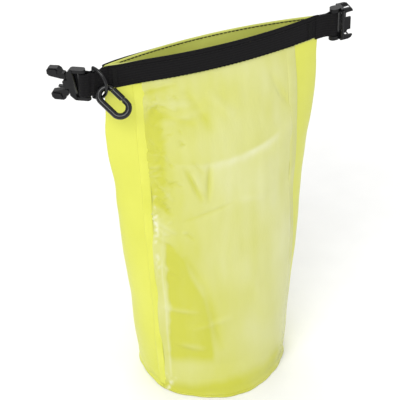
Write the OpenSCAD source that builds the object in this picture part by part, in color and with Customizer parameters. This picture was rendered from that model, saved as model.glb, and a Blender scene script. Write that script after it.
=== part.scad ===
// Small roll-top dry bag, open at the mouth: welded fabric tube with a clear
// front window, a webbing-bound rim, a side-release buckle and a carabiner.
// Millimetres. +Z up, +X along the mouth towards the socket, -Y is the front.
// The origin is the centre of the base's underside.

// Every sub-part, by name
// Which sub-part to build, or all of them

/* [Bag] */
// Width of the empty bag laid flat
flat_width = 180; // [150:5:220]
// Height of the open bag, base to rim
bag_height = 305; // [260:5:340]
// Radius of the round base
base_radius = 57.3; // [45:0.1:65]
// Thickness of the coated fabric
fabric = 0.9; // [0.5:0.1:1.5]
// Thickness of the clear film
film = 0.8; // [0.4:0.1:1.2]
// Height of the welded band around the base
band_height = 20; // [10:1:30]
// Height where the stiff body ends and the folding neck begins
neck_bottom = 232; // [200:1:250]

/* [Window] */
// Half angle of the window at the base
window_low_angle = 65; // [40:1:80]
// Half angle of the window at the mouth
window_high_angle = 45.7; // [30:0.1:60]
// Half angle covered by each welded seam
weld_half_angle = 3.6; // [2:0.1:6]

/* [Webbing] */
// Width of the webbing
webbing = 20; // [15:1:25]
// Thickness of one layer of webbing
webbing_thick = 1.5; // [1:0.1:2.5]
// How far the fabric rim stands above the webbing
rim_peek = 0.9; // [0:0.1:3]
// How far the left tail has drooped
droop = 3.6; // [0:0.1:6]
// How far back the left tail points
tail_angle = 9.5; // [0:0.5:30]

/* [Buckle] */
// Height of the buckle halves
buckle_height = 28; // [27:0.5:34]
// Distance from the left corner to the plug's bar
plug_bar_reach = 14.3; // [14:0.1:24]
// Distance from the right corner to the socket's bar
socket_bar_reach = 13.4; // [12:0.1:24]
// Diameter of the webbing bars
bar_diameter = 3.4; // [2.5:0.1:4.5]
// Tilt of the plug in the slack webbing loop
plug_tilt = 9; // [0:1:9]
// How far the plug has turned back round its bar
plug_turn = 33; // [0:1:50]

/* [D-ring and carabiner] */
// Diameter of the D-ring's wire
ring_wire = 2.6; // [2:0.1:4]
// Radius of the D-ring's curve at the middle of the wire
ring_radius = 13; // [12:0.1:16]
// Distance from the left corner to the D-ring's straight bar
ring_reach = 8; // [7:0.1:10]
// Direction of the D-ring's plane, from +X towards -Y
ring_yaw = 62; // [20:1:70]
// Where the carabiner hangs on the curve, below the level
hang_angle = 26; // [20:1:60]
// Length of the carabiner
link_length = 32; // [28:0.5:45]
// Width of the carabiner
link_width = 17.5; // [15:0.5:26]
// Diameter of the carabiner's rod
link_rod = 5; // [4:0.1:6.5]
// How far the carabiner's plane leans
link_lean = 38; // [0:1:45]

/* [Hidden] */
gap = 0.35; // between two bodies that move
touch = 0.05; // between two pieces of one body
$fn = 40;

mouth_half = flat_width / 2 - 0.6; // half the mouth's width, corner to corner
girth = 2 * flat_width; // the way round the bag, the same at every height
lens_start = 0.4; // how far up the ellipse begins to turn into a lens
rim_low = bag_height - rim_peek - webbing; // the webbing's lower edge
rim_high = bag_height - rim_peek; // the webbing's upper edge
rim_mid = (rim_low + rim_high) / 2; // the webbing's middle, and the right tail's
left_mid = rim_mid - droop; // the left tail's middle
weld_thick = 0.5; // thickness of the seam tapes
weld_gap = 0.16; // how far the seam tapes stand off the skin
weld_height = 2; // height of the flange round the base
base_lap = 1.3; // how far the flange laps in under the wall
base_flange = 1.5; // how far the flange stands out
band_in = 0.45; // how far the base band's inner face stands off the skin
band_out = 1.25; // how far its outer face does
hem_thick = 1.2; // thickness of the folded hem
neck_gap = 0.4; // between the neck and the rim's hem
tack_thick = 0.3; // thickness of a bar tack
tack_span = 8; // angle that a bar tack covers
tack_left = 206; // angle where the left bar tack begins
tack_right = 326; // angle where the right one begins

// ---- The bag's cross-section ----

// How far up the soft wall a height is; the stiff rim keeps one section, at 1
function rise(z) = max(0, min(1, z / rim_low));

// How far the section has gone from an ellipse (0) to a pointed lens (1)
function lens(z) = pow(max(0, (rise(z) - lens_start) / (1 - lens_start)), 1.5);

// Half the width of the section
function half_width(z) = base_radius + (mouth_half - base_radius) * pow(rise(z), 0.7);

// Ramanujan's perimeter of an ellipse
function perimeter(a, b) = PI * (3 * (a + b) - sqrt((3 * a + b) * (a + 3 * b)));

// The half depth that keeps the girth, by halving
function keep_girth(a, low, high, steps) =
    steps == 0 ? (low + high) / 2 :
    perimeter(a, (low + high) / 2) > girth ?
        keep_girth(a, low, (low + high) / 2, steps - 1) :
        keep_girth(a, (low + high) / 2, high, steps - 1);

function half_depth(z) =
    (1 + 0.6 * lens(z)) * keep_girth(half_width(z), 2, 70, 16);

// A point of the section at height z, an angle and a distance off the skin
function skin(z, angle, off) =
    let (
        k = lens(z),
        a = half_width(z) + off * (1 + (off < 0 ? 3 : 2) * k),
        b = half_depth(z) + off,
        s = sin(angle)
    )
    [a * cos(angle), b * sign(s) * pow(abs(s), 1 + k), z];

// Half the window's angle at height z
function window_angle(z) =
    window_low_angle
    + (window_high_angle - window_low_angle) * pow(rise(z), 0.7);

function steps_of(from, to, n) = [for (i = [0:n]) from + (to - from) * i / n];

// The angles of the fabric round the back, with a point on each corner
function wrap_angles(z) = concat(
    steps_of(window_angle(z) - 90, -5, 5),
    steps_of(0, 180, 24),
    steps_of(185, 270 - window_angle(z), 5)
);

// ---- Sheets ----

// A closed solid between two grids of points
module thick_sheet(outer, inner) {
    rows = len(outer);
    cols = len(outer[0]);
    count = rows * cols;
    function at(side, j, i) = side * count + j * cols + i;
    faces = concat(
        [for (j = [0:rows - 2], i = [0:cols - 2], t = [0, 1])
            t == 0 ? [at(0, j, i), at(0, j + 1, i), at(0, j + 1, i + 1)]
                : [at(0, j, i), at(0, j + 1, i + 1), at(0, j, i + 1)]],
        [for (j = [0:rows - 2], i = [0:cols - 2], t = [0, 1])
            t == 0 ? [at(1, j + 1, i + 1), at(1, j + 1, i), at(1, j, i)]
                : [at(1, j, i + 1), at(1, j + 1, i + 1), at(1, j, i)]],
        [for (i = [0:cols - 2], t = [0, 1])
            t == 0 ? [at(0, 0, i), at(0, 0, i + 1), at(1, 0, i + 1)]
                : [at(0, 0, i), at(1, 0, i + 1), at(1, 0, i)]],
        [for (i = [0:cols - 2], t = [0, 1])
            t == 0 ? [at(0, rows - 1, i + 1), at(0, rows - 1, i), at(1, rows - 1, i)]
                : [at(0, rows - 1, i + 1), at(1, rows - 1, i), at(1, rows - 1, i + 1)]],
        [for (j = [0:rows - 2], t = [0, 1])
            t == 0 ? [at(0, j + 1, 0), at(0, j, 0), at(1, j, 0)]
                : [at(0, j + 1, 0), at(1, j, 0), at(1, j + 1, 0)]],
        [for (j = [0:rows - 2], t = [0, 1])
            t == 0 ? [at(0, j, cols - 1), at(0, j + 1, cols - 1), at(1, j + 1, cols - 1)]
                : [at(0, j, cols - 1), at(1, j + 1, cols - 1), at(1, j, cols - 1)]]
    );
    flat = concat(
        [for (row = outer) for (p = row) p],
        [for (row = inner) for (p = row) p]
    );
    polyhedron(points = flat, faces = faces, convexity = 8);
}

// A strip of the skin between two angles and two heights
module strip(z_from, z_to, rows, angle_from, angle_to, cols, off_in, off_out) {
    heights = steps_of(z_from, z_to, rows);
    angles = steps_of(angle_from, angle_to, cols);
    thick_sheet(
        [for (z = heights) [for (t = angles) skin(z, t, off_out)]],
        [for (z = heights) [for (t = angles) skin(z, t, off_in)]]
    );
}

// The fabric round the back and both sides
module wrap(z_from, z_to, rows) {
    heights = steps_of(z_from, z_to, rows);
    thick_sheet(
        [for (z = heights) [for (t = wrap_angles(z)) skin(z, t, 0)]],
        [for (z = heights) [for (t = wrap_angles(z)) skin(z, t, -fabric)]]
    );
}

// The film at the front, a little clear of the fabric's edges
module window(z_from, z_to, rows) {
    heights = steps_of(z_from, z_to, rows);
    cols = 16;
    thick_sheet(
        [for (z = heights) [for (i = [0:cols])
            skin(z, -90 + (window_angle(z) - 0.2) * (2 * i / cols - 1), 0)]],
        [for (z = heights) [for (i = [0:cols])
            skin(z, -90 + (window_angle(z) - 0.2) * (2 * i / cols - 1), -film)]]
    );
}

// A welded seam tape over one edge of the window; side is -1 left, 1 right
module window_weld(side) {
    heights = steps_of(band_height + 1, neck_bottom - 1, 14);
    spans = steps_of(-weld_half_angle, weld_half_angle, 2);
    thick_sheet(
        [for (z = heights) [for (w = spans)
            skin(z, -90 + side * window_angle(z) + w, weld_gap + weld_thick)]],
        [for (z = heights) [for (w = spans)
            skin(z, -90 + side * window_angle(z) + w, weld_gap)]]
    );
}

module base_disc() {
    color("gold") cylinder(r = base_radius - base_lap - touch, h = 1.2);
}

// The flange where the band and the base are welded together
module base_weld() {
    color("gold") rotate_extrude() {
        translate([base_radius - base_lap, 0]) square([base_lap + base_flange, weld_height]);
        translate([base_radius + base_flange, weld_height / 2]) circle(d = weld_height);
    }
}

module base_band() {
    heights = steps_of(weld_height + touch, band_height, 3);
    color("yellow") thick_ring(heights, band_in, band_out);
}

// A closed band right round the skin, in two halves that meet
module thick_ring(heights, off_in, off_out) {
    angles = steps_of(0, 360, 60);
    last = len(angles) - 2;
    rows = len(heights);
    cols = last + 1;
    count = rows * cols;
    function at(side, j, i) = side * count + j * cols + i % cols;
    faces = concat(
        [for (j = [0:rows - 2], i = [0:last], t = [0, 1])
            t == 0 ? [at(0, j, i), at(0, j + 1, i), at(0, j + 1, i + 1)]
                : [at(0, j, i), at(0, j + 1, i + 1), at(0, j, i + 1)]],
        [for (j = [0:rows - 2], i = [0:last], t = [0, 1])
            t == 0 ? [at(1, j + 1, i + 1), at(1, j + 1, i), at(1, j, i)]
                : [at(1, j, i + 1), at(1, j + 1, i + 1), at(1, j, i)]],
        [for (i = [0:last], t = [0, 1])
            t == 0 ? [at(0, 0, i), at(0, 0, i + 1), at(1, 0, i + 1)]
                : [at(0, 0, i), at(1, 0, i + 1), at(1, 0, i)]],
        [for (i = [0:last], t = [0, 1])
            t == 0 ? [at(0, rows - 1, i + 1), at(0, rows - 1, i), at(1, rows - 1, i)]
                : [at(0, rows - 1, i + 1), at(1, rows - 1, i), at(1, rows - 1, i + 1)]]
    );
    flat = concat(
        [for (z = heights) for (i = [0:last]) skin(z, angles[i], off_out)],
        [for (z = heights) for (i = [0:last]) skin(z, angles[i], off_in)]
    );
    polyhedron(points = flat, faces = faces, convexity = 8);
}

module body_panel() {
    color("yellow") wrap(weld_height + touch, neck_bottom, 16);
}

module window_panel() {
    color("palegoldenrod") window(weld_height + touch, neck_bottom, 16);
}

module window_weld_left() {
    color("khaki") window_weld(-1);
}

module window_weld_right() {
    color("khaki") window_weld(1);
}

module neck_panel() {
    color("yellow") wrap(neck_bottom + 2 * touch, rim_low - neck_gap, 4);
}

module neck_window() {
    color("palegoldenrod") window(neck_bottom + 2 * touch, rim_low - neck_gap, 4);
}

// ---- The rim: hem and webbing, front and back ----

module hem_front() {
    color("gold") translate([0, -touch, 0])
        strip(rim_low, bag_height, 3, 180, 360, 30, -hem_thick, 0);
}

module hem_back() {
    color("gold") translate([0, touch, 0])
        strip(rim_low, bag_height, 3, 0, 180, 30, -hem_thick, 0);
}

module strap_front() {
    color("black") translate([0, -touch, 0])
        strip(rim_low, rim_high, 2, 180, 360, 30, touch, touch + webbing_thick);
}

module strap_back() {
    color("black") translate([0, touch, 0])
        strip(rim_low, rim_high, 2, 0, 180, 30, touch, touch + webbing_thick);
}

// A bar tack through both straps where they come together; side is -1 or 1
module corner_tack(side) {
    off = touch + webbing_thick + touch;
    from = side < 0 ? tack_left : tack_right;
    color("dimgray") translate([0, -touch, 0])
        strip(rim_low + 1.5, rim_high - 1.5, 2, from, from + tack_span, 4, off, off + tack_thick);
}

module corner_tack_left() {
    corner_tack(-1);
}

module corner_tack_right() {
    corner_tack(1);
}

// ---- Webbing tails, each a strip and a loop round a buckle's bar ----

tail_start = 5.1; // where a tail begins, clear of the rim as it bends
loop_hole = bar_diameter / 2 + 0.5; // radius of the hole in a webbing loop
loop_round = loop_hole + webbing_thick; // radius round the outside of the loop
plug_slack = 1.4; // play of the plug's bar along its loop, either way
ring_hole = ring_wire / 2 + 0.4; // radius of the D-ring's own passage

module slot_2d(r, from, to) {
    translate([from, 0]) circle(r = r);
    translate([to, 0]) circle(r = r);
    translate([from, -r]) square([to - from, 2 * r]);
}

// reach is the bar's distance; slack is the play along the loop on either side
module tail(reach, slack, with_ring) {
    linear_extrude(height = webbing, center = true) difference() {
        union() {
            translate([tail_start, -webbing_thick])
                square([reach - slack - tail_start, 2 * webbing_thick]);
            slot_2d(loop_round, reach - slack, reach + slack);
            if (with_ring) translate([ring_reach, 0])
                circle(r = ring_hole + webbing_thick);
        }
        slot_2d(loop_hole, reach - slack, reach + slack);
        if (with_ring) translate([ring_reach, 0]) circle(r = ring_hole);
    }
}

// Local x runs outwards from the corner, local y is the tail's normal
module at_left() {
    translate([-mouth_half, 0, left_mid]) rotate([0, 0, 180 - tail_angle]) children();
}

module at_right() {
    translate([mouth_half, 0, rim_mid]) children();
}

module tail_left() {
    color("black") at_left() tail(plug_bar_reach, plug_slack, true);
}

module tail_right() {
    color("black") at_right() tail(socket_bar_reach, 0, false);
}

// ---- Buckle ----

half_high = buckle_height / 2; // the buckle's half height

// Two ears and the bar that a webbing loop goes round; local x 0 is the bar
module anchor(inner_high, ear_from, ear_to, thick) {
    cylinder(d = bar_diameter, h = 2 * inner_high + 2, center = true);
    for (side = [-1, 1]) translate([0, 0, side * (inner_high + half_high) / 2])
        linear_extrude(height = half_high - inner_high, center = true)
            slot_2d(thick / 2, ear_from + thick / 2, ear_to - thick / 2);
}

bridge_start = 8; // where the plug's cross piece begins, from its bar
plug_inner_high = webbing / 2 + 1.2; // half the opening between its ears
bridge_thick = 4.8;

// The plug's outline between the ears and the arms, in x and z
module plug_bridge() {
    rotate([90, 0, 0]) linear_extrude(height = bridge_thick, center = true) polygon([
        [bridge_start, -half_high], [10, -13.6], [13.2, -10.2], [13.4, -4],
        [16.4, -3.9], [17.6, -2.4], [17.2, 0], [17.6, 2.4], [16.4, 3.9],
        [13.4, 4], [13.2, 10.2], [10, 13.6], [bridge_start, half_high]
    ]);
}

// The plug turns round its tilted bar
module at_plug() {
    at_left() translate([plug_bar_reach, 0, 0]) rotate([0, plug_tilt, 0])
        rotate([0, 0, -plug_turn]) children();
}

module plug_frame() {
    color("black") at_plug() {
        anchor(plug_inner_high, -2.5, 10, 5);
        plug_bridge();
        // the raised edge beside the webbing, and the lip behind its loop
        translate([bridge_start, -3, -half_high + 0.5]) cube([1.4, 6, buckle_height - 1]);
        translate([0, -1.8, 0]) rotate([90, 0, 0]) linear_extrude(height = 1.2) polygon([
            [7.4, -plug_inner_high - 0.4], [bridge_start + 1, -plug_inner_high - 0.4],
            [bridge_start + 1, plug_inner_high + 0.4], [5, plug_inner_high + 0.4]
        ]);
        // the guide between the arms
        translate([17, -1.2, -3.4]) cube([5, 2.4, 1.2]);
    }
}

arm_root = 14.2; // where the arms spring from the frame, from the bar
arm_thick = 4.4;
head_thick = 5.8; // the pad on each arm's catch head

// One flexing arm of the plug with its catch head, in x and z, above the level
module plug_arm() {
    rotate([90, 0, 0]) {
        linear_extrude(height = arm_thick, center = true) polygon([
            [arm_root, 6], [arm_root + 0.6, 4.9], [18.2, 5.1], [27.4, 7.2],
            [28.8, 9.2], [28.6, 12.4], [26.8, 14.4], [19.4, 14.6], [17.4, 13.2],
            [16.6, 10.6], [arm_root + 0.6, 10], [arm_root, 9.2]
        ]);
        linear_extrude(height = head_thick, center = true) polygon([
            [20.8, 8.6], [27, 8.4], [28.1, 9.8], [27.9, 12], [26.4, 13.6],
            [21.4, 13.8], [19.8, 12.4]
        ]);
    }
}

module plug_arm_upper() {
    color("black") at_plug() plug_arm();
}

module plug_arm_lower() {
    color("black") at_plug() mirror([0, 0, 1]) plug_arm();
}

socket_wall = 1.5; // front and back walls
socket_side = 1.4; // upper and lower walls
socket_thick = 9.6; // outside, front to back
socket_start = 4.6; // where the housing begins, from the bar
socket_length = 14.6; // how far its open end is from the bar
socket_inner_high = webbing / 2 + 0.6; // half the opening between its ears

// The socket: ears and bar, then a flat housing that is open at its far end
module socket_body() {
    inside = socket_thick - 2 * socket_wall;
    inside_high = buckle_height - 2 * socket_side;
    color("black") at_right() translate([socket_bar_reach, 0, 0]) {
        anchor(socket_inner_high, -3.2, 5.4, 6.4);
        difference() {
            rotate([90, 0, 0]) linear_extrude(height = socket_thick, center = true) polygon([
                [socket_start, -half_high], [socket_length - 3.4, -half_high],
                [socket_length - 1, -half_high + 1], [socket_length, -half_high + 3.2],
                [socket_length, half_high - 3.2], [socket_length - 1, half_high - 1],
                [socket_length - 3.4, half_high], [socket_start, half_high]
            ]);
            translate([socket_start + 2, -inside / 2, -inside_high / 2])
                cube([socket_length, inside, inside_high]);
            // side windows for the catch heads
            translate([socket_start + 2.8, -inside / 2, -half_high - 1])
                cube([5.4, inside, buckle_height + 2]);
            // notches that leave a tongue between two claws, front and back
            for (side = [-1, 1]) translate([socket_start + 2.8, 0, side * 7.8]) hull() {
                translate([2.4, 0, 0]) rotate([90, 0, 0])
                    cylinder(d = 4.8, h = 2 * socket_thick, center = true);
                translate([socket_length, 0, side * 0.6]) rotate([90, 0, 0])
                    cylinder(d = 5.6, h = 2 * socket_thick, center = true);
            }
            // the tongue stops short of the claws
            translate([socket_length - 1.8, -socket_thick, -half_high / 2])
                cube([4, 2 * socket_thick, half_high]);
        }
        // the raised collar at the housing's near end, with its rounded lips
        for (side = [-1, 1]) translate([socket_start + 1, side * (socket_thick / 2 + 0.4), 0])
            cylinder(d = 2.4, h = buckle_height - 2, center = true);
        difference() {
            translate([socket_start, -socket_thick / 2 - 0.7, -half_high + 0.6])
                cube([2, socket_thick + 1.4, buckle_height - 1.2]);
            translate([socket_start + 1.2, -inside / 2, -inside_high / 2])
                cube([4, inside, inside_high]);
        }
    }
}

// ---- D-ring ----

ring_lift = 0.6; // how far the ring sits above the tail's middle

// Local x runs outwards from the straight bar, local z is up
module at_ring() {
    at_left() translate([ring_reach, 0, ring_lift])
        rotate([0, 0, tail_angle - 180 - ring_yaw]) children();
}

module d_ring() {
    color("black") at_ring() {
        cylinder(d = ring_wire, h = 2 * ring_radius, center = true);
        for (z = [-ring_radius, ring_radius]) translate([0, 0, z]) sphere(d = ring_wire);
        rotate([90, 0, 0]) rotate([0, 0, -90]) rotate_extrude(angle = 180)
            translate([ring_radius, 0]) circle(d = ring_wire);
    }
}

// ---- Carabiner: an oval rod with a gate in one side ----

link_bend = (link_width - link_rod) / 2; // radius of the bends at the rod's middle
link_straight = link_length - link_rod - 2 * link_bend;
hang_gap = 0.95; // between the D-ring's wire and the carabiner's rod
link_in = ring_wire / 2 + link_rod / 2 + hang_gap; // from wire middle to rod middle
knuckle_gap = 2.4; // the fork that the gate's hinge sits in
knuckle_back = 2.4; // how far the fork reaches back along the side
pin_diameter = 1.4;

// Local x runs along the carabiner, away from the D-ring; local y is its width.
// Local x 0 is the middle of the near end's bend.
module at_link() {
    at_ring() rotate([0, hang_angle, 0])
        translate([ring_radius - link_in + link_bend, 0, 0])
        rotate([link_lean, 0, 0]) children();
}

module rod(from, to, y) {
    translate([from, y, 0]) rotate([0, 90, 0]) cylinder(d = link_rod, h = to - from);
}

module bend(x, start) {
    translate([x, 0, 0]) rotate([0, 0, start]) rotate_extrude(angle = 180)
        translate([link_bend, 0]) circle(d = link_rod);
}

// The gate is the straight side at positive y, hinged at the far end
module carabiner_body() {
    color("black") at_link() difference() {
        union() {
            bend(0, 90);
            bend(link_straight, -90);
            rod(0, link_straight, -link_bend);
            rod(link_straight - knuckle_back, link_straight, link_bend);
        }
        translate([link_straight - 6, link_bend - link_rod, -knuckle_gap / 2])
            cube([8.6, 2 * link_rod, knuckle_gap]);
    }
}

module carabiner_pin() {
    color("dimgray") at_link() translate([link_straight, link_bend, 0])
        cylinder(d = pin_diameter, h = 4.2, center = true);
}

gate_swing = 25; // how far the gate opens inwards
gate_start = 0.7; // where its free end is, past the near bend
gate_end = 3.35; // how far its round part stops short of the hinge
gate_eye = 3.2; // diameter of its hinge eye

module carabiner_gate() {
    thick = knuckle_gap - 2 * gap;
    color("black") at_link() {
        // its hinged end is cut back so that it clears the body when it swings in
        difference() {
            rod(gate_start, link_straight - gate_end, link_bend);
            translate([link_straight - gate_end, link_bend, 0]) rotate([0, 0, -gate_swing])
                translate([0, -2 * link_rod, -link_rod])
                    cube([2 * link_rod, 2 * link_rod, 2 * link_rod]);
        }
        difference() {
            union() {
                translate([link_straight, link_bend, 0])
                    cylinder(d = gate_eye, h = thick, center = true);
                translate([link_straight - 4, link_bend - gate_eye / 2, -thick / 2])
                    cube([4, gate_eye, thick]);
            }
            translate([link_straight, link_bend, 0])
                cylinder(d = pin_diameter + 0.1, h = 4, center = true);
        }
    }
}

base_disc();
base_weld();
base_band();
body_panel();
window_panel();
window_weld_left();
window_weld_right();
neck_panel();
neck_window();
hem_front();
hem_back();
strap_front();
strap_back();
corner_tack_left();
corner_tack_right();
tail_left();
d_ring();
carabiner_body();
carabiner_pin();
carabiner_gate();
plug_frame();
plug_arm_upper();
plug_arm_lower();
tail_right();
socket_body();
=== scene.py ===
"""Looks of a small roll-top dry bag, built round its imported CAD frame. Lengths are in millimetres
until a mesh is made; mm() turns them into the frame's metres."""
import math
import random
from functools import lru_cache

import bpy
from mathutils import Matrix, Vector, noise


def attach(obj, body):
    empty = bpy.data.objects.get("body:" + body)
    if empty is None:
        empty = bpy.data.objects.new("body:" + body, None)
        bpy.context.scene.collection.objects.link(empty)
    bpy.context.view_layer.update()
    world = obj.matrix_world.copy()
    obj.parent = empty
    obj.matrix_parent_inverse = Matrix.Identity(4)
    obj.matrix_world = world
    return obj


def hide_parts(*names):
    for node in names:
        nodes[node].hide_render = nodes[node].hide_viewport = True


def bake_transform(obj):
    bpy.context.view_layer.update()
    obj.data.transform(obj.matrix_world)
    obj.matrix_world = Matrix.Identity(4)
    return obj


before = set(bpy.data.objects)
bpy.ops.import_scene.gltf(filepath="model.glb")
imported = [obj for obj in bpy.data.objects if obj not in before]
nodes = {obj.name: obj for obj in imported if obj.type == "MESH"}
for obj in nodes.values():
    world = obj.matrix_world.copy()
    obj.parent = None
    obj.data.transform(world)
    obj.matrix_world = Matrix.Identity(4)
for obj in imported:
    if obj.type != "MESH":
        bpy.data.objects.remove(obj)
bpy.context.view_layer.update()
UNIT = 0.001

# ---- Driving dimensions, as in the CAD ----

BAG_HEIGHT = 305.0
BASE_RADIUS = 57.3
MOUTH_HALF = 89.4
GIRTH = 360.0
LENS_START = 0.4  # how far up the ellipse begins to turn into a lens
BAND_HEIGHT = 20.0
WEBBING = 20.0
RIM_LOW = 284.1
RIM_HIGH = 304.1
RIM_MID = (RIM_LOW + RIM_HIGH) / 2
LEFT_MID = RIM_MID - 3.6
TAIL_ANGLE = math.radians(9.5)
PLUG_BAR = 14.3  # from the left corner to the plug's bar
PLUG_SLACK = 1.4
SOCKET_BAR = 13.4  # from the right corner to the socket's bar
RING_REACH = 8.0  # from the left corner to the D-ring's bar
LOOP_ROUND = 3.7  # radius round the outside of a webbing loop
STRAP_THICK = 1.5
HEM_THICK = 1.2
SEAM_HALF = 3.6  # half of a seam tape, in degrees
FLANGE_LOW = 57  # inside this radius the bottom flange stays round
GATHER = 0.6  # how much of the pucker the bottom follows


def mm(p):
    return Vector(p) * UNIT


# ---- The bag's section ----


def rise(z):
    return max(0.0, min(1.0, z / RIM_LOW))


def lens(z):
    return max(0.0, (rise(z) - LENS_START) / (1 - LENS_START)) ** 1.5


def perimeter(a, b):
    return math.pi * (3 * (a + b) - math.sqrt((3 * a + b) * (a + 3 * b)))


@lru_cache(maxsize=None)
def section(z):
    """(sharpness, half width, half depth) of the bag at height z."""
    a = BASE_RADIUS + (MOUTH_HALF - BASE_RADIUS) * rise(z) ** 0.7
    low, high = 2.0, 70.0
    for _ in range(24):
        middle = (low + high) / 2
        if perimeter(a, middle) > GIRTH:
            high = middle
        else:
            low = middle
    return lens(z), a, (1 + 0.6 * lens(z)) * low


def skin(z, angle, off=0.0):
    """A point of the bag's surface; angle is in degrees, -90 at the front."""
    k, a, b = section(z)
    reach = 3 if off < 0 else 2
    s = math.sin(math.radians(angle))
    x = (a + off * (1 + reach * k)) * math.cos(math.radians(angle))
    y = (b + off) * math.copysign(abs(s) ** (1 + k), s)
    return (x, y, z)


def window_angle(z):
    """Half the window's angle at height z, in degrees."""
    return 65 + (45.7 - 65) * rise(z) ** 0.7


def smooth(t):
    t = max(0.0, min(1.0, t))
    return t * t * (3 - 2 * t)


def between(low, high, n):
    return [low + (high - low) * i / n for i in range(n + 1)]


def turns(n):
    """The angles of n even steps round a circle, in radians."""
    return [2 * math.pi * i / n for i in range(n)]


# ---- How the fabric and the film lie ----


def ridge(x, z, start, end, width, height):
    """A soft fold from start to end in (x, z), fading at both ends."""
    dx, dz = end[0] - start[0], end[1] - start[1]
    length = math.hypot(dx, dz)
    t = ((x - start[0]) * dx + (z - start[1]) * dz) / length**2
    if t < 0 or t > 1:
        return 0.0
    side = ((x - start[0]) * dz - (z - start[1]) * dx) / length
    return height * math.sin(math.pi * t) ** 0.7 * math.exp(-((side / width) ** 2))


def drift(p, scale, seed):
    """Smooth noise about 0, its humps about scale apart."""
    return noise.noise(Vector((p[0] / scale + seed, p[1] / scale, p[2] / scale)))


def fade_at_edges(z, low, high, reach):
    """1 between low and high, falling to 0 within reach of either."""
    return smooth((z - low) / reach) * smooth((high - z) / reach)


def pucker(angle):
    """The uneven outline of the bottom, where the fabric is gathered into its weld."""
    t = math.radians(angle)
    lobes = 1.2 * math.cos(5 * t + 0.4) + 0.8 * math.cos(8 * t + 2.1)
    lobes += 1.0 * abs(math.cos(9.5 * t + 1.0)) - 0.5
    from_dent = (angle + 62 + 180) % 360 - 180
    return lobes - 5.0 * math.exp(-((from_dent / 17) ** 2))


def gather(z, angle):
    """How far the wall leans out or in near the bottom."""
    flare = 1.7 * math.exp(-(((z - 0.6) / 2.4) ** 2))
    return GATHER * pucker(angle) * math.exp(-z / 9) + flare


def fabric_sag(z, angle):
    """How far the coated fabric stands off its even section."""
    p = skin(z, angle)
    hold = fade_at_edges(z, BAND_HEIGHT - 4, RIM_LOW - 2, 34)
    soft = 1.5 * drift(p, 62, 3.1) + 0.55 * drift(p, 21, 8.4)
    side = abs(math.cos(math.radians(angle)))
    steady = 1 - 0.8 * side**4 * lens(z)
    tuck = -0.9 * side**6 * math.exp(-(((z - 60) / 34) ** 2))
    full = 1.5 * side**4 * math.exp(-(((z - 222) / 34) ** 2))
    return hold * soft * steady + tuck + full + gather(z, angle)


# Folds of the film: start and end in (x, z), width, height
FILM_FOLDS = [
    ((-64, 276), (-34, 279), 2.2, -1.3),
    ((-62, 270), (-20, 262), 3.0, 1.2),
    ((-60, 262), (-22, 246), 2.4, -0.9),
    ((-55, 250), (-8, 258), 3.5, 0.8),
    ((-30, 276), (-8, 236), 4.0, -0.9),
    ((-12, 270), (10, 246), 3.5, 0.7),
    ((44, 272), (62, 236), 3.0, -0.8),
    ((-53, 160), (-50, 26), 1.1, 1.1),
    ((-58, 206), (-44, 182), 1.4, 1.0),
    ((-60, 190), (-44, 168), 1.8, -1.0),
    ((-60, 168), (-42, 152), 1.6, 1.1),
    ((-59, 150), (-43, 138), 1.5, -0.9),
    ((-58, 128), (-40, 112), 1.8, 0.8),
    ((-35, 213), (-21, 178), 2.0, -1.5),
    ((-28, 216), (-19, 203), 1.2, -0.9),
    ((-28, 208), (-20, 186), 2.4, 0.8),
    ((-14, 214), (-17, 176), 2.2, -1.5),
    ((-38, 132), (-20, 96), 4.0, -1.2),
    ((-22, 100), (-12, 40), 4.0, -1.3),
    ((-56, 84), (-26, 79), 2.2, 1.2),
    ((-40, 62), (0, 70), 2.6, 0.8),
    ((-50, 52), (-22, 44), 3.0, 1.3),
    ((10, 120), (34, 60), 7.0, 0.6),
    ((30, 210), (40, 120), 8.0, 0.6),
    ((-38, 163), (6, 173), 1.2, -0.8),
    ((4, 176), (34, 168), 3.0, 0.5),
]

# The edge of the painted shade wedge, a fold's soft shadow, as (x, z) down the edge of the clear
# patch
WEDGE = [(-54, 156), (-37, 128), (-22, 90), (-18, 66), (-16, 30)]
CREASES = 64


def crinkles():
    """Short sharp creases where the film is drawn in by the seam, below the webbing."""
    chance = random.Random(11)
    out = []
    for _ in range(CREASES):
        x = -62 + 26 * chance.random() ** 1.6
        z = 150 + 125 * chance.random()
        turn = chance.uniform(-1.1, 0.6)
        reach = chance.uniform(4, 11)
        end = (x + reach * math.cos(turn), z + reach * math.sin(turn))
        out.append(((x, z), end, chance.uniform(0.7, 1.3), chance.choice((-0.8, 0.8))))
    return out


ALL_FOLDS = FILM_FOLDS + crinkles()


def folds_at(x, z):
    """How far all the folds together raise the film."""
    return sum(ridge(x, z, *fold) for fold in ALL_FOLDS)


def film_sag(z, angle):
    """How far the film stands off the bag's even section."""
    p = skin(z, angle)
    hold = fade_at_edges(z, BAND_HEIGHT - 2, RIM_LOW + 2, 12)
    edge = smooth((window_angle(z) - abs(angle + 90)) / 3.0)
    soft = 1.3 * drift(p, 48, 1.7) + 0.35 * drift(p, 15, 5.2)
    own = hold * (folds_at(p[0], z) + soft) + gather(z, angle)
    return edge * own + (1 - edge) * (fabric_sag(z, angle) - 0.05)


def wedge_edge(z):
    """Where the clear patch ends at height z."""
    for (xa, za), (xb, zb) in zip(WEDGE, WEDGE[1:]):
        if z >= zb:
            return xa + (xb - xa) * (za - z) / (za - zb)
    return WEDGE[-1][0]


def cross_fold(x):
    """The height of the long fold across the film."""
    return 210.5 + 0.0036 * x**2


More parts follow.
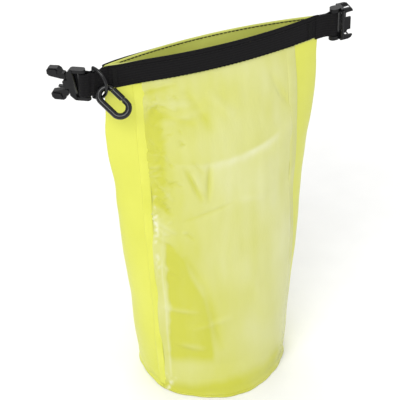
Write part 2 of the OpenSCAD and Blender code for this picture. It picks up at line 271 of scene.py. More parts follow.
def film_haze_and_painted_light(p):
    """How hazy the film looks, painted light included: 0 is clear yellow, 1 is milky. Over the
    film's own haze lie a painted reflection panel, a painted shade wedge, painted reflection
    streaks and painted shading of the folds.
    """
    x, _, z = p
    value = 0.30 + 0.26 * smooth((x + 52) / 100) + 0.20 * drift((x, 0, z), 34, 6.6)
    # Painted reflection: a paler panel below the long cross fold, the softbox seen in the film.
    painted_reflection_panel = smooth((x + 46) / 7) * smooth((50 - x) / 4) * smooth((cross_fold(x) + 1 - z) / 3)
    value += 0.15 * painted_reflection_panel * smooth((z - 130) / 80)
    value += 0.22 * smooth((x - 34) / 16) * smooth((190 - z) / 60)
    column = smooth((-48 - x + 2.4 * drift((0, 0, z), 9, 7.7)) / 4.5)
    value += 0.10 * column * smooth((190 - z) / 40)
    # Painted shade: left of the WEDGE line the film is made clearer and yellower, a fold's soft
    # shadow.
    painted_shade_wedge = smooth((wedge_edge(z) - x) / 5) * (1 - column) * smooth((160 - z) / 9)
    value -= 0.44 * painted_shade_wedge * smooth((z - 26) / 14)
    value -= 0.30 * smooth((-46 - x) / 6) * smooth((z - 168) / 20) * smooth((266 - z) / 20)
    value -= 0.34 * smooth((20 - z + 0.10 * x + 6 * drift((x, 0, 0), 16, 8.8)) / 12)
    # Painted light: faint vertical reflection streaks, and folds painted paler on their ridges and
    # yellower in their hollows.
    painted_reflection_streak = drift((x, 0, z * 0.25), 7, 2.4) * smooth((z - 60) / 60)
    value += 0.10 * painted_reflection_streak + 0.20 * folds_at(x, z)
    return max(0.0, min(1.0, value))


def painted_fold_highlight(z, angle):
    """Painted highlights on the film: a line and patches down the left seam, and the crest of the
    long cross fold.
    """
    inside = angle + 90 + window_angle(z)
    side = inside - 8.5 - 1.6 * drift((0, 0, z), 30, 3.3)
    line = 0.26 * math.exp(-((side / 0.9) ** 2)) * smooth((150 - z) / 30) * smooth((z - 8) / 12)
    ragged = drift((inside * 0.9, 0, z), 4.5, 9.1) + 0.5 * drift((0, 0, z), 19, 2.2)
    near = math.exp(-(((inside - 5.4) / 1.9) ** 2))
    where = math.exp(-(((z - 166) / 20) ** 2)) + 0.5 * math.exp(-(((z - 128) / 18) ** 2))
    where += math.exp(-(((z - 6) / 9) ** 2))
    patches = near * min(1.0, where) * smooth((ragged + 0.08) / 0.4)
    x = skin(z, angle)[0]
    width = 1.8 if z > cross_fold(x) else 5.5
    crest = math.exp(-(((z - cross_fold(x)) / width) ** 2))
    crest *= smooth((x + 40) / 50) * smooth((52 - x) / 9)
    return max(line, 0.85 * patches, 0.34 * crest * (0.8 + drift((x, 0, z), 9, 4.4)))


# ---- Meshes ----


def new_object(name, verts, faces, uvs=None, shade=True):
    mesh = bpy.data.meshes.new(name)
    mesh.from_pydata([mm(v) for v in verts], [], faces)
    if uvs:
        layer = mesh.uv_layers.new(name="cloth")
        for loop in mesh.loops:
            layer.data[loop.index].uv = uvs[loop.vertex_index]
    if shade:
        mesh.polygons.foreach_set("use_smooth", [True] * len(mesh.polygons))
    mesh.update()
    made = bpy.data.objects.new(name, mesh)
    bpy.context.scene.collection.objects.link(made)
    return made


def lay_length(row):
    """How far along a row of points each point is."""
    out = [0.0]
    for p, q in zip(row, row[1:]):
        out.append(out[-1] + math.dist(p, q))
    return out


def sheet_mesh(name, outer, inner, closed=False):
    """A closed sheet between two grids of points, as one object with cloth UVs in metres."""
    rows, cols = len(outer), len(outer[0])
    count = rows * cols
    verts = [p for grid in (outer, inner) for row in grid for p in row]
    uvs = []
    for grid in (outer, inner):
        for row in grid:
            middle = lay_length(row)[cols // 2]
            for length, p in zip(lay_length(row), row):
                uvs.append(((length - middle) * UNIT, p[2] * UNIT))
    faces = []
    span = cols if closed else cols - 1
    for j in range(rows - 1):
        for i in range(span):
            k = (i + 1) % cols
            a, b, c, d = j * cols + i, j * cols + k, (j + 1) * cols + k, (j + 1) * cols + i
            faces.append((a, b, c, d))
            faces.append((count + d, count + c, count + b, count + a))
    for i in range(span):
        k = (i + 1) % cols
        top = (rows - 1) * cols
        faces.append((count + i, count + k, k, i))
        faces.append((top + i, top + k, count + top + k, count + top + i))
    if not closed:
        for j in range(rows - 1):
            a, d = j * cols, (j + 1) * cols
            faces.append((count + a, a, d, count + d))
            a, d = a + cols - 1, d + cols - 1
            faces.append((a, count + a, count + d, d))
    return new_object(name, verts, faces, uvs)


def skin_sheet(name, heights, angles_at, out_at, in_at, closed=False):
    """A sheet over the bag's skin; the two offsets are functions of height and angle."""
    outer = [[skin(z, t, out_at(z, t)) for t in angles_at(z)] for z in heights]
    inner = [[skin(z, t, in_at(z, t)) for t in angles_at(z)] for z in heights]
    return sheet_mesh(name, outer, inner, closed)


def ride(made, body, *stands_for):
    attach(made, body)
    if stands_for:
        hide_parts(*stands_for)
    return made


def fold(made, *stands_for):
    """The piece spans the neck, between the bag and the rim, so it is baked in place and rides
    neither body.
    """
    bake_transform(made)
    if stands_for:
        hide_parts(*stands_for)
    return made


# ---- Materials ----


class Nodes:
    """A short way to build a material's node tree."""

    def __init__(self, name):
        self.material = bpy.data.materials.new(name)
        self.material.use_nodes = True
        self.tree = self.material.node_tree
        self.shader = self.tree.nodes["Principled BSDF"]

    def add(self, kind, **settings):
        node = self.tree.nodes.new(kind)
        for key, value in settings.items():
            if key in node.inputs:
                node.inputs[key].default_value = value
            else:
                setattr(node, key, value)
        return node

    def link(self, out, into):
        self.tree.links.new(out, into)

    def cloth_uv(self):
        return self.add("ShaderNodeUVMap", uv_map="cloth").outputs["UV"]

    def attribute(self, name):
        return self.add("ShaderNodeAttribute", attribute_name=name).outputs["Fac"]

    def height(self):
        split = self.add("ShaderNodeSeparateXYZ")
        self.link(self.place(), split.inputs[0])
        return split.outputs["Z"]

    def place(self):
        return self.add("ShaderNodeTexCoord").outputs["Object"]

    def scaled(self, vector, scale):
        mapping = self.add("ShaderNodeMapping")
        mapping.inputs["Scale"].default_value = scale
        self.link(vector, mapping.inputs["Vector"])
        return mapping.outputs["Vector"]

    def noise(self, vector, scale, detail=3.0, rough=0.5):
        node = self.add("ShaderNodeTexNoise")
        node.inputs["Scale"].default_value = scale
        node.inputs["Detail"].default_value = detail
        node.inputs["Roughness"].default_value = rough
        self.link(vector, node.inputs["Vector"])
        return node.outputs["Fac"]

    def bands(self, vector, direction, scale, distortion=0.0):
        node = self.add("ShaderNodeTexWave", bands_direction=direction)
        node.inputs["Scale"].default_value = scale
        node.inputs["Distortion"].default_value = distortion
        self.link(vector, node.inputs["Vector"])
        return node.outputs["Fac"]

    def math(self, operation, a, b):
        node = self.add("ShaderNodeMath", operation=operation)
        for value, socket in ((a, node.inputs[0]), (b, node.inputs[1])):
            if isinstance(value, (int, float)):
                socket.default_value = value
            else:
                self.link(value, socket)
        return node.outputs[0]

    def ramp(self, fac, low, high, a, b):
        """Colour a up to low, colour b from high."""
        node = self.add("ShaderNodeValToRGB")
        node.color_ramp.elements[0].position = low
        node.color_ramp.elements[1].position = high
        node.color_ramp.elements[0].color = (*a, 1)
        node.color_ramp.elements[1].color = (*b, 1)
        self.link(fac, node.inputs["Fac"])
        return node.outputs["Color"]

    def mix(self, fac, a, b, blend="MIX"):
        node = self.add("ShaderNodeMix", data_type="RGBA", blend_type=blend)
        for value, socket in ((fac, node.inputs[0]), (a, node.inputs[6]), (b, node.inputs[7])):
            if isinstance(value, (int, float)):
                socket.default_value = value
            elif isinstance(value, tuple):
                socket.default_value = (*value, 1)
            else:
                self.link(value, socket)
        return node.outputs[2]

    def span(self, fac, low, high):
        node = self.add("ShaderNodeMapRange")
        node.inputs["To Min"].default_value = low
        node.inputs["To Max"].default_value = high
        self.link(fac, node.inputs["Value"])
        return node.outputs["Result"]

    def bump(self, height, strength, distance, before=None):
        node = self.add("ShaderNodeBump")
        node.inputs["Strength"].default_value = strength
        node.inputs["Distance"].default_value = distance
        self.link(height, node.inputs["Height"])
        if before:
            self.link(before, node.inputs["Normal"])
        return node.outputs["Normal"]

    def set(self, **values):
        for key, value in values.items():
            socket = self.shader.inputs[key.replace("_", " ")]
            if isinstance(value, (int, float)):
                socket.default_value = value
            elif isinstance(value, tuple):
                socket.default_value = value if len(value) == 4 else (*value, 1)
            else:
                self.link(value, socket)


def coated_fabric(name, light, deep, shade=None):
    """Neon coated ripstop: a fine weave under a satin coating. Given a shade colour, a lining gets
    painted shade near the mouth.
    """
    n = Nodes(name)
    uv = n.cloth_uv()
    warp = n.bands(uv, "X", 700, 0.6)
    weft = n.bands(uv, "Y", 700, 0.6)
    weave = n.math("MULTIPLY", warp, weft)
    cloud = n.noise(n.place(), 14, 4)
    fine = n.noise(n.place(), 420, 2)
    colour = n.ramp(cloud, 0.3, 0.72, deep, light)
    colour = n.mix(n.span(weave, 0.0, 0.16), colour, tuple(0.72 * c for c in deep))
    if shade:
        # Painted shade: from 225 to 275 mm up, the colour turns to the shade colour, as the inside
        # of the bag darkens by the mouth.
        mouth_shade_mask = n.add("ShaderNodeMapRange")
        mouth_shade_mask.inputs["From Min"].default_value = 0.225
        mouth_shade_mask.inputs["From Max"].default_value = 0.275
        n.link(n.height(), mouth_shade_mask.inputs["Value"])
        colour = n.mix(mouth_shade_mask.outputs["Result"], colour, shade)
    n.set(Base_Color=colour, Roughness=n.span(fine, 0.36, 0.5), Coat_Weight=0.10)
    n.set(Coat_Roughness=0.35, Sheen_Weight=0.05, Specular_IOR_Level=0.35)
    creases = n.bump(n.noise(n.place(), 60, 5, 0.6), 0.25, 0.0012)
    n.set(Normal=n.bump(weave, 0.35, 0.00012, creases))
    return n.material


def film_material():
    """Clear film that has hazed: yellow where its haze value is low, milky where it is high. The
    value holds the film's own haze with painted reflection and painted fold shade mixed in; painted
    highlights whiten the fold crests.
    """
    n = Nodes("window_film")
    place = n.place()
    stretch = n.scaled(place, (1.0, 1.0, 0.35))
    haze_and_painted_light = n.attribute("haze_and_painted_light")
    mottle = n.span(n.noise(stretch, 46, 5, 0.6), -0.16, 0.16)
    colour = n.ramp(n.math("ADD", haze_and_painted_light, mottle), 0.0, 1.0, FILM_CLEAR_AND_SHADE, FILM_MILKY_AND_REFLECTION)
    # Painted highlights whiten the film along its fold crests and by the left seam.
    colour = n.mix(n.attribute("painted_highlight"), colour, FILM_PAINTED_HIGHLIGHT)
    n.set(Base_Color=colour, Alpha=0.68, Specular_IOR_Level=0.5, IOR=1.45)
    n.set(Roughness=n.span(n.noise(place, 90, 3), 0.12, 0.30))
    crinkle = n.bump(n.noise(stretch, 70, 5, 0.6), 0.45, 0.0018)
    n.set(Normal=n.bump(n.noise(place, 340, 3), 0.12, 0.0004, crinkle))
    return n.material


def seam_material(name, deep, light):
    """Film welded on to fabric, with the weld's fine cross ribs."""
    n = Nodes(name)
    ribs = n.bands(n.cloth_uv(), "Y", 380, 0.2)
    cloud = n.noise(n.place(), 40, 3)
    n.set(Base_Color=n.ramp(cloud, 0.3, 0.75, deep, light), Coat_Weight=0.2)
    n.set(Roughness=n.span(cloud, 0.25, 0.4), Coat_Roughness=0.2, Specular_IOR_Level=0.35)
    n.set(Normal=n.bump(ribs, 0.3, 0.00012))
    return n.material


def webbing_material():
    """Black woven webbing: herringbone yarns, dull, with lighter worn fibres and painted shade
    along its ribs.
    """
    n = Nodes("black_webbing")
    uv = n.cloth_uv()
    rows = n.bands(uv, "Y", 330, 0.4)
    picks = n.bands(uv, "X", 420, 1.2)
    weave = n.math("MULTIPLY", rows, picks)
    fibres = n.noise(n.scaled(uv, (1, 6, 1)), 500, 3)
    colour = n.ramp(fibres, 0.35, 0.8, (0.003, 0.0028, 0.003), (0.009, 0.0085, 0.0095))
    # Painted shade along the ribs: lighter on the crests, darker in the grooves.
    ribs = n.bands(uv, "Y", 141)
    colour = n.mix(n.span(ribs, 0.0, 0.6), colour, (0.011, 0.0105, 0.0115))
    n.set(Base_Color=colour, Roughness=0.8, Sheen_Weight=0.025, Sheen_Roughness=0.4)
    n.set(Specular_IOR_Level=0.12, Normal=n.bump(weave, 0.6, 0.0003))
    return n.material


def thread_material(name, colour):
    n = Nodes(name)
    twist = n.bands(n.scaled(n.place(), (1, 1, 0.6)), "DIAGONAL", 1500)
    # Painted highlight: lighter along the twist, where each ply's crest would catch the light.
    shade = n.mix(n.span(twist, 0.2, 0.8), colour, tuple(2.2 * c for c in colour))
    n.set(Base_Color=shade, Roughness=0.65, Sheen_Weight=0.02, Specular_IOR_Level=0.2)
    n.set(Normal=n.bump(twist, 0.5, 0.0001))
    return n.material


def plastic_material(name, low, high, shine):
    """Moulded acetal: near black, satin, with a fine spark-eroded grain and rubbed patches."""
    n = Nodes(name)
    place = n.place()
    grain = n.noise(place, 2600, 2)
    rub = n.noise(place, 110, 4, 0.6)
    colour = n.ramp(rub, 0.35, 0.8, (0.0035, 0.0035, 0.004), (0.009, 0.009, 0.010))
    n.set(Base_Color=colour, Roughness=n.span(rub, low, high), Specular_IOR_Level=shine)
    n.set(Normal=n.bump(grain, 0.12, 0.0001))
    return n.material


def steel_material():
    n = Nodes("pin_steel")
    scratch = n.noise(n.scaled(n.place(), (1, 1, 14)), 900, 3)
    n.set(Base_Color=n.ramp(scratch, 0.3, 0.8, (0.3, 0.3, 0.31), (0.5, 0.5, 0.51)))
    n.set(Metallic=1.0, Roughness=n.span(scratch, 0.25, 0.5))
    return n.material


NEON = (0.70, 0.72, 0.105)
NEON_DEEP = (0.63, 0.65, 0.075)
RIM_NEON = (0.50, 0.53, 0.14)
# Painted shade colour of the lining inside the bag near the mouth
MOUTH_PAINTED_SHADE = (0.27, 0.29, 0.055)
# Film colours: clear yellow, also the painted shade; milky, also the painted reflection; white for
# the painted highlights.
FILM_CLEAR_AND_SHADE = (0.70, 0.71, 0.085)
FILM_MILKY_AND_REFLECTION = (0.87, 0.88, 0.50)
FILM_PAINTED_HIGHLIGHT = (1.0, 1.0, 0.80)
fabric = coated_fabric("coated_fabric", NEON, NEON_DEEP)
base_fabric = coated_fabric("base_fabric", (0.58, 0.59, 0.10), (0.52, 0.53, 0.075))
rim_fabric = coated_fabric("rim_fabric", RIM_NEON, tuple(0.9 * c for c in RIM_NEON))
rim_lining = coated_fabric("rim_lining", (0.66, 0.69, 0.18), (0.52, 0.55, 0.12))
lining = coated_fabric("lining_fabric", (0.62, 0.65, 0.09), (0.55, 0.58, 0.07), MOUTH_PAINTED_SHADE)
film = film_material()
seam_on_fabric = seam_material("welded_seam_left", NEON_DEEP, NEON)
seam_on_film = seam_material("welded_seam_right", (0.56, 0.57, 0.17), (0.62, 0.63, 0.25))
webbing = webbing_material()
black_thread = thread_material("black_thread", (0.004, 0.004, 0.004))
dark_thread = thread_material("rim_thread", (0.012, 0.013, 0.006))
plastic = plastic_material("moulded_plastic", 0.24, 0.40, 0.20)
gloss = plastic_material("gloss_plastic", 0.12, 0.24, 0.38)
steel = steel_material()


def paint(made, *materials):
    made.data.materials.clear()
    for material in materials:
        made.data.materials.append(material)
    return made


def paint_inside(made, count):
    """The faces of a sheet's inner grid, from point count on, take its second material."""
    for face in made.data.polygons:
        if all(v >= count for v in face.vertices):
            face.material_index = 1


def set_values(made, name, values):
    """A named value at every point of a mesh, for its material."""
    layer = made.data.attributes.new(name, "FLOAT", "POINT")
    layer.data.foreach_set("value", values)


def film_on_front(made):
    """The faces below the window take the second material, the film."""
    spots = [v.co / UNIT for v in made.data.vertices]
    # Haze with its painted reflection and shade, and the painted highlights, for the film's colour.
    set_values(made, "haze_and_painted_light", [film_haze_and_painted_light(p) for p in spots])
    turned = [math.degrees(math.atan2(p[1], p[0])) for p in spots]
    set_values(made, "painted_highlight", [painted_fold_highlight(p[2], t) for p, t in zip(spots, turned)])
    for face in made.data.polygons:
        x, y, z = face.center / UNIT
        if abs(math.degrees(math.atan2(y, x)) + 90) < window_angle(z):
            face.material_index = 1


# ---- Bag ----

SHELL_ROWS = 150


def wrap_angles(z):
    """Round the back from one edge of the window to the other, closer-set near the edges."""
    return (
        between(window_angle(z) - 93, -4, 28)
        + between(0, 180, 150)
        + between(184, 273 - window_angle(z), 28)
    )


def make_shell():
    """The fabric round the back and both sides, up inside the rim."""
    heights = between(2.1, BAG_HEIGHT - 1.0, SHELL_ROWS)
    made = skin_sheet(
        "fabric_shell", heights, wrap_angles,
        lambda z, t: fabric_sag(z, t) - 0.06, lambda z, t: fabric_sag(z, t) - 0.85,
    )
    paint(made, fabric, lining)
    paint_inside(made, len(heights) * len(wrap_angles(100)))
    return fold(made, "body_panel", "neck_panel")


def make_film():
    """The clear window, from under the base band to inside the rim."""
    heights = between(6, BAG_HEIGHT - 1.5, 190)
    cols = 130

    def angles(z):
        reach = window_angle(z) + 1.5
        return [-90 + reach * (2 * i / cols - 1) for i in range(cols + 1)]

    made = skin_sheet(
        "window_film", heights, angles,
        lambda z, t: film_sag(z, t) + 0.02, lambda z, t: film_sag(z, t) - 0.02,
    )
    # Haze with its painted reflection and shade, and the painted highlights, for the film's colour.
    set_values(made, "haze_and_painted_light", [film_haze_and_painted_light(v.co / UNIT) for v in made.data.vertices])
    set_values(made, "painted_highlight", [painted_fold_highlight(z, t) for z in heights for t in angles(z)] * 2)
    paint(made, film)
    return fold(made, "window_panel", "neck_window")


def make_weld(name, side, node, material):
    """The welded strip where the film laps over the fabric."""
    heights = between(3.0, RIM_LOW + 1, 160)
    spans = between(-SEAM_HALF, SEAM_HALF, 12)

    def middle(z):
        return side * (window_angle(z) + 0.4)

    def angles(z):
        return [middle(z) - 90 + w for w in spans]

    def lift(z, t):
        across = abs(t + 90 - middle(z)) / SEAM_HALF
        ripple = 0.12 * drift((0, side * 50, z), 5, 2.0)
        return -0.12 + 0.5 * (1 - across**4) + ripple * (1 - across) + fabric_sag(z, t)

    made = skin_sheet(name, heights, angles, lift, lambda z, t: lift(z, t) - 0.4)
    paint(made, material)
    return fold(made, node)


DISC_RADIUS = 56
DISC_SIDES = 96
DISC_LOW = 0.05
FLANGE_SIDES = 180


def make_disc():
    """The flat base, a little raised in the middle."""
    rings = [0.3, 0.6, 0.85, 1.0]
    outer = [[(DISC_RADIUS * r * math.cos(t), DISC_RADIUS * r * math.sin(t), 0.9 + 0.5 * (1 - r))
              for t in turns(DISC_SIDES)] for r in rings]
    inner = [[(x, y, DISC_LOW) for x, y, _ in row] for row in outer]
    verts = [p for row in outer for p in row] + [p for row in inner for p in row]
    verts += [(0, 0, 1.4), (0, 0, DISC_LOW)]
    faces = []
    step = DISC_SIDES * len(rings)
    rim = step - DISC_SIDES
    for j in range(len(rings) - 1):
        for i in range(DISC_SIDES):
            k = (i + 1) % DISC_SIDES
            a, b = j * DISC_SIDES + i, j * DISC_SIDES + k
            c, d = b + DISC_SIDES, a + DISC_SIDES
            faces.append((a, d, c, b))
            faces.append((step + a, step + b, step + c, step + d))
    for i in range(DISC_SIDES):
        k = (i + 1) % DISC_SIDES
        faces.append((2 * step, i, k))
        faces.append((2 * step + 1, step + k, step + i))
        faces.append((rim + i, step + rim + i, step + rim + k, rim + k))
    uvs = [(p[0] * UNIT, p[1] * UNIT) for p in verts]
    disc = new_object("base_disc_fabric", verts, faces, uvs)
    paint(disc, base_fabric)
    ride(disc, "bag", "base_disc")


def make_flange():
    """The welded edge round the base, its section drawn as (radius, height)."""
    profile = [(56.2, 0.15), (58.9, 0.1), (59.6, 0.5), (59.75, 1.0), (59.5, 1.6),
               (58.9, 1.95), (56.4, 1.9)]
    rows = []
    for r, z in profile:
        give = GATHER if r > FLANGE_LOW else 0
        row = []
        for t in turns(FLANGE_SIDES):
            reach = r + give * pucker(math.degrees(t))
            row.append((reach * math.cos(t), reach * math.sin(t), z))
        rows.append(row)
    verts = [p for row in rows for p in row]
    faces = []
    for j in range(len(rows)):
        here, above = j * FLANGE_SIDES, (j + 1) % len(rows) * FLANGE_SIDES
        for i in range(FLANGE_SIDES):
            k = (i + 1) % FLANGE_SIDES
            faces.append((here + i, here + k, above + k, above + i))
    uvs = [(math.atan2(p[1], p[0]) * BASE_RADIUS * UNIT, p[2] * UNIT) for p in verts]
    flange = new_object("base_flange", verts, faces, uvs)
    paint(flange, base_fabric, film)
    film_on_front(flange)
    ride(flange, "bag", "base_weld")


def make_band():
    """The band above the flange: fabric at the back and sides, film below the window."""

    def lift(z, t):
        across = smooth((window_angle(z) + 3 - abs(t + 90 if t < 90 else t - 270)) / 3)
        base = across * film_sag(z, t) + (1 - across) * fabric_sag(z, t)
        return base - 0.16 + 0.5 * smooth((BAND_HEIGHT - z) / 9)

    angles = between(0, 358, 179)
    band = skin_sheet(
        "base_band_fabric", between(0.6, BAND_HEIGHT, 28), lambda z: angles, lift,
        lambda z, t: lift(z, t) - 0.3, closed=True,
    )
    paint(band, fabric, film)
    film_on_front(band)
    ride(band, "bag", "base_band")


# ---- Rim ----


def make_hem(name, low, high, node):
    """The folded hem, its top edge rounded, behind the webbing."""
    heights = between(RIM_LOW + 0.4, BAG_HEIGHT, 24)
    angles = between(low, high, 150)

    def thin(z):
        return 0.45 * max(0.0, (z - BAG_HEIGHT + 1.6) / 1.6) ** 2

    made = skin_sheet(
        name, heights, lambda z: angles, lambda z, t: 0.03 - thin(z),
        lambda z, t: thin(z) - HEM_THICK + 0.08 * drift((t, 0, z), 6, 4),
    )
    paint(made, rim_fabric, rim_lining)
    paint_inside(made, len(heights) * len(angles))
    return ride(made, "rim", node)


RIBS = 9


def rib(across):
    """The webbing's relief at a place across it, 0 at one edge and 1 at the other."""
    edge = min(across, 1 - across) * WEBBING
    roll = -0.5 * (1 - min(1.0, edge / 1.1)) ** 2
    return 0.13 * abs(math.sin(math.pi * RIBS * across)) ** 0.8 + roll


def make_strap(name, low, high, node, peek):
    """The webbing along one side of the mouth, ribbed lengthwise; peek(angle) raises it."""
    heights = [RIM_LOW + WEBBING * c for c in between(0, 1, 72)]
    angles = between(low, high, 170)
    made = skin_sheet(
        name, heights, lambda z: angles,
        lambda z, t: STRAP_THICK - 0.1 + rib((z - RIM_LOW) / WEBBING), lambda z, t: 0.08,
    )
    for v in made.data.vertices:
        v.co.z += peek(angles[v.index % len(angles)]) * UNIT
    paint(made, webbing)
    return ride(made, "rim", node)


def stitch(verts, faces, start, end, out, radius):
    """One stitch: a rounded bead from start to end, bowed along out."""
    start, end, out = Vector(start), Vector(end), Vector(out).normalized()
    along = (end - start).normalized()
    side = along.cross(out).normalized()
    rings, sides = 6, 6
    first = len(verts)
    for j in range(rings + 1):
        t = j / rings
        middle = start.lerp(end, t) + out * (math.sin(math.pi * t) ** 0.5 * radius * 0.7)
        r = radius * (0.35 + 0.65 * math.sin(math.pi * t) ** 0.5)
        for i in range(sides):
            a = 2 * math.pi * i / sides
            verts.append(tuple(middle + side * (r * math.cos(a)) + out * (r * math.sin(a))))
    for j in range(rings):
        for i in range(sides):
            k = (i + 1) % sides
            a = first + j * sides
            faces.append((a + i, a + k, a + sides + k, a + sides + i))
    faces.append(tuple(first + i for i in reversed(range(sides))))
    faces.append(tuple(first + rings * sides + i for i in range(sides)))


def stitch_row(name, z, low, high, off, radius, length, space, material, inward=False):
    """A row of stitches along the skin at height z."""
    fine = [skin(z, t, off) for t in between(low, high, 700)]
    lengths = lay_length(fine)
    verts, faces = [], []
    at = 1.0
    while at + length < lengths[-1] - 1:
        i = next(n for n, v in enumerate(lengths) if v >= at)
        j = next(n for n, v in enumerate(lengths) if v >= at + length)
        along = Vector(fine[j]) - Vector(fine[i])
        out = along.cross(Vector((0, 0, 1)))
        stitch(verts, faces, fine[i], fine[j], -out if inward else out, radius)
        at += length + space
    made = new_object(name, verts, faces)
    paint(made, material)
    return ride(made, "rim")


def make_bartack(name, angle, node):
    """A block of zigzag stitches through the webbing by one corner."""
    verts, faces = [], []
    for n in range(22):
        z = RIM_LOW + 2.2 + n * 0.72
        a, b = skin(z, angle - 2.6, 1.62), skin(z + 0.3, angle + 2.6, 1.62)
        stitch(verts, faces, a, b, (0, -1, 0), 0.3)
    made = new_object(name, verts, faces)
    paint(made, black_thread)
    return ride(made, "rim", node)


# ---- Webbing tails ----


def left_point(s, n):
    """A point of the left tail's plan, s outwards from the corner, n towards the front."""
    return (
        -MOUTH_HALF - s * math.cos(TAIL_ANGLE) - n * math.sin(TAIL_ANGLE),
        s * math.sin(TAIL_ANGLE) - n * math.cos(TAIL_ANGLE),
    )


def right_point(s, n):
    """The same for the right tail, which runs straight out."""
    return (MOUTH_HALF + s, -n)


def spline(points, steps):
    """A smooth line through points, as Catmull and Rom draw it."""
    points = [Vector((*p, 0)) for p in points]
    full = [2 * points[0] - points[1]] + points + [2 * points[-1] - points[-2]]
    out = []
    for a, b, c, d in zip(full, full[1:], full[2:], full[3:]):
        for i in range(steps):
            t = i / steps
            out.append(
                0.5 * (2 * b + (c - a) * t + (2 * a - 5 * b + 4 * c - d) * t**2
                       + (3 * b - a - 3 * c + d) * t**3)
            )
    out.append(points[-1])
    return [(p.x, p.y) for p in out]


def make_tail(name, place, bar, slack, ring, middle_at, node, start, end):
    """One ribbon of webbing: off the front strap, round the buckle's bar, on to the rear one."""
    r = LOOP_ROUND - STRAP_THICK / 2
    half = [(-2.6, 1.45), (1.5, 1.05), (4.6, 0.82)]
    if ring:
        half += [(ring - 1.9, 1.45), (ring, 2.5), (ring + 2.0, 1.7)]
        half += [(bar - slack - 1.6, 2.1)]
    else:
        half += [(bar - 6.0, 0.85), (bar - 3.6, 1.75)]
    if slack:
        half += [(bar - slack, r)]
    arc = [(bar + slack + r * math.sin(a), r * math.cos(a))
           for a in between(-0.15, math.pi / 2, 4)]
    front = half + arc
    back = [(s, -n) for s, n in reversed(front[:-1])]
    line = spline([place(s, n) for s, n in front + back], 7)
    cross = between(0, 1, 60)
    outer, inner = [], []
    sides = []
    for i, p in enumerate(line):
        q, o = line[min(i + 1, len(line) - 1)], line[max(i - 1, 0)]
        d = Vector((q[0] - o[0], q[1] - o[1])).normalized()
        sides.append((d.y, -d.x))
    flip = 1 if place is left_point else -1
    for c in cross:
        row_out, row_in = [], []
        for (x, y), (sx, sy) in zip(line, sides):
            z = middle_at(x) + WEBBING * (c - 0.5)
            out = flip * -(STRAP_THICK / 2 - 0.1 + rib(c))
            row_out.append((x + sx * out, y + sy * out, z))
            row_in.append((x + sx * flip * 0.68, y + sy * flip * 0.68, z))
        outer.append(row_out)
        inner.append(row_in)
    if flip > 0:
        outer, inner = [row[::-1] for row in outer], [row[::-1] for row in inner]
    made = sheet_mesh(name, outer, inner)
    paint(made, webbing)
    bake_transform(made)
    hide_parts(node)
    return made


def left_middle(x):
    """The height of the left tail's middle line, which droops away from the corner."""
    reach = -x - MOUTH_HALF
    return RIM_MID - 3.6 * smooth((reach + 3) / 8.5)


# ---- Hard parts: the CAD solids, with broken edges and moulded plastic ----


def finish_hard(name, material, edge):
    part = nodes[name]
    paint(part, material)
    if edge:
        bevel = part.modifiers.new("edges", "BEVEL")
        bevel.width = edge * UNIT
        bevel.segments = 2
        bevel.limit_method = "ANGLE"
        bevel.angle_limit = math.radians(35)
        bevel.harden_normals = False
    part.data.polygons.foreach_set("use_smooth", [True] * len(part.data.polygons))
    smooth_by_angle(part, 32)


def smooth_by_angle(part, degrees):
    """Faces shade smooth except across sharp edges."""
    limit = math.radians(degrees)
    mesh = part.data
    faces_at = {}
    for face in mesh.polygons:
        for key in face.edge_keys:
            faces_at.setdefault(key, []).append(face.normal)
    sharp = []
    for edge in mesh.edges:
        pair = faces_at.get(tuple(sorted(edge.vertices)), [])
        turn = pair[0].angle(pair[1], 0) if len(pair) == 2 else math.pi
        sharp.append(turn > limit)
    layer = mesh.attributes.get("sharp_edge")
    layer = layer or mesh.attributes.new("sharp_edge", "BOOLEAN", "EDGE")
    layer.data.foreach_set("value", sharp)


# ---- Build ----

make_shell()
make_film()
make_weld("seam_left", -1, "window_weld_left", seam_on_fabric)
make_weld("seam_right", 1, "window_weld_right", seam_on_film)
make_disc()
make_flange()
make_band()
make_hem("rim_hem_front", 181, 359, "hem_front")
make_hem("rim_hem_back", 1, 179, "hem_back")
make_strap("webbing_front", 196, 344, "strap_front", lambda t: 1.7 * smooth((t - 204) / 30))
make_strap("webbing_back", 16, 164, "strap_back", lambda t: 1.5 * smooth((t - 112) / 40))
for tag, low, high in (("front", 200, 340), ("back", 20, 160)):
    for row, z in (("low", RIM_LOW + 2.4), ("high", RIM_HIGH - 2.4)):
        stitch_row(f"stitches_{tag}_{row}", z, low, high, 1.56, 0.32, 2.5, 0.9, black_thread)
        inside = z + 1.5 if row == "high" else z
        stitch_row(
            f"stitches_{tag}_{row}_inside", inside, low, high, -1.24, 0.5, 3.1, 0.2,
            dark_thread, inward=True,
        )
make_bartack("bartack_left", 210, "corner_tack_left")
make_bartack("bartack_right", 330, "corner_tack_right")
make_tail(
    "webbing_tail_left", left_point, PLUG_BAR, PLUG_SLACK, RING_REACH, left_middle,
    "tail_left", mm((*left_point(3.2, 0), LEFT_MID)), mm((*left_point(6.6, 0), LEFT_MID)),
)
make_tail(
    "webbing_tail_right", right_point, SOCKET_BAR, 0, None, lambda x: RIM_MID,
    "tail_right", mm((*right_point(3.2, 0), RIM_MID)), mm((*right_point(6.6, 0), RIM_MID)),
)
for name in ("plug_frame", "plug_arm_upper", "plug_arm_lower", "socket_body"):
    finish_hard(name, plastic, 0.35)
finish_hard("d_ring", gloss, 0)
for name in ("carabiner_body", "carabiner_gate"):
    finish_hard(name, gloss, 0)
finish_hard("carabiner_pin", steel, 0)

# ---- Floor, light and camera ----


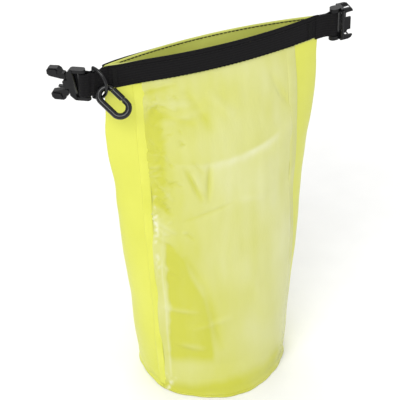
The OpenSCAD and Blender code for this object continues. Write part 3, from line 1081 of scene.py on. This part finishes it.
def make_floor():
    n = Nodes("pale_floor")
    speck = n.noise(n.place(), 30, 3)
    n.set(Base_Color=n.ramp(speck, 0.3, 0.8, (0.90, 0.90, 0.90), (0.93, 0.93, 0.93)))
    n.set(Roughness=0.9, Specular_IOR_Level=0.2)
    half = 4000
    verts = [(-half, -half, 0), (half, -half, 0), (half, half, 0), (-half, half, 0)]
    floor = new_object("floor", verts, [(0, 1, 2, 3)])
    paint(floor, n.material)


def area_light(name, place, target, size, power):
    data = bpy.data.lights.new(name, "AREA")
    data.shape = "RECTANGLE"
    data.size, data.size_y = size
    data.energy = power
    lamp = bpy.data.objects.new(name, data)
    lamp.location = place
    lamp.rotation_mode = "QUATERNION"
    lamp.rotation_quaternion = (Vector(target) - Vector(place)).to_track_quat("-Z", "Y")
    bpy.context.scene.collection.objects.link(lamp)


def make_world():
    world = bpy.data.worlds.new("studio")
    bpy.context.scene.world = world
    world.use_nodes = True
    sky = world.node_tree.nodes["Background"]
    sky.inputs["Color"].default_value = (1.0, 1.0, 1.0, 1)
    sky.inputs["Strength"].default_value = 0.75


def make_camera():
    """The photograph's view: a long lens from the front left, looking down."""
    azimuth, elevation = math.radians(-23.97), math.radians(35.46)
    distance = 1.963
    shift_left, shift_up = 0.0094, 0.0044
    target = Vector((0, 0, 0.150))
    back = Vector((
        math.sin(azimuth) * math.cos(elevation),
        -math.cos(azimuth) * math.cos(elevation),
        math.sin(elevation),
    ))
    data = bpy.data.cameras.new("camera")
    data.lens = 221.8
    camera = bpy.data.objects.new("camera", data)
    camera.rotation_mode = "QUATERNION"
    camera.rotation_quaternion = (-back).to_track_quat("-Z", "Y")
    right = camera.rotation_quaternion @ Vector((1, 0, 0))
    up = camera.rotation_quaternion @ Vector((0, 1, 0))
    camera.location = target + back * distance - right * shift_left + up * shift_up
    bpy.context.scene.collection.objects.link(camera)
    bpy.context.scene.camera = camera


make_floor()
make_world()
area_light("key", (-1.1, -1.2, 1.7), (0, 0, 0.15), (1.4, 1.0), 27)
area_light("fill", (1.6, -0.9, 1.0), (0, 0, 0.15), (1.2, 1.4), 1.5)
area_light("back", (0.3, 1.5, 1.6), (0, 0, 0.2), (1.6, 1.0), 12)
make_camera()
bpy.context.scene.view_settings.view_transform = "Standard"
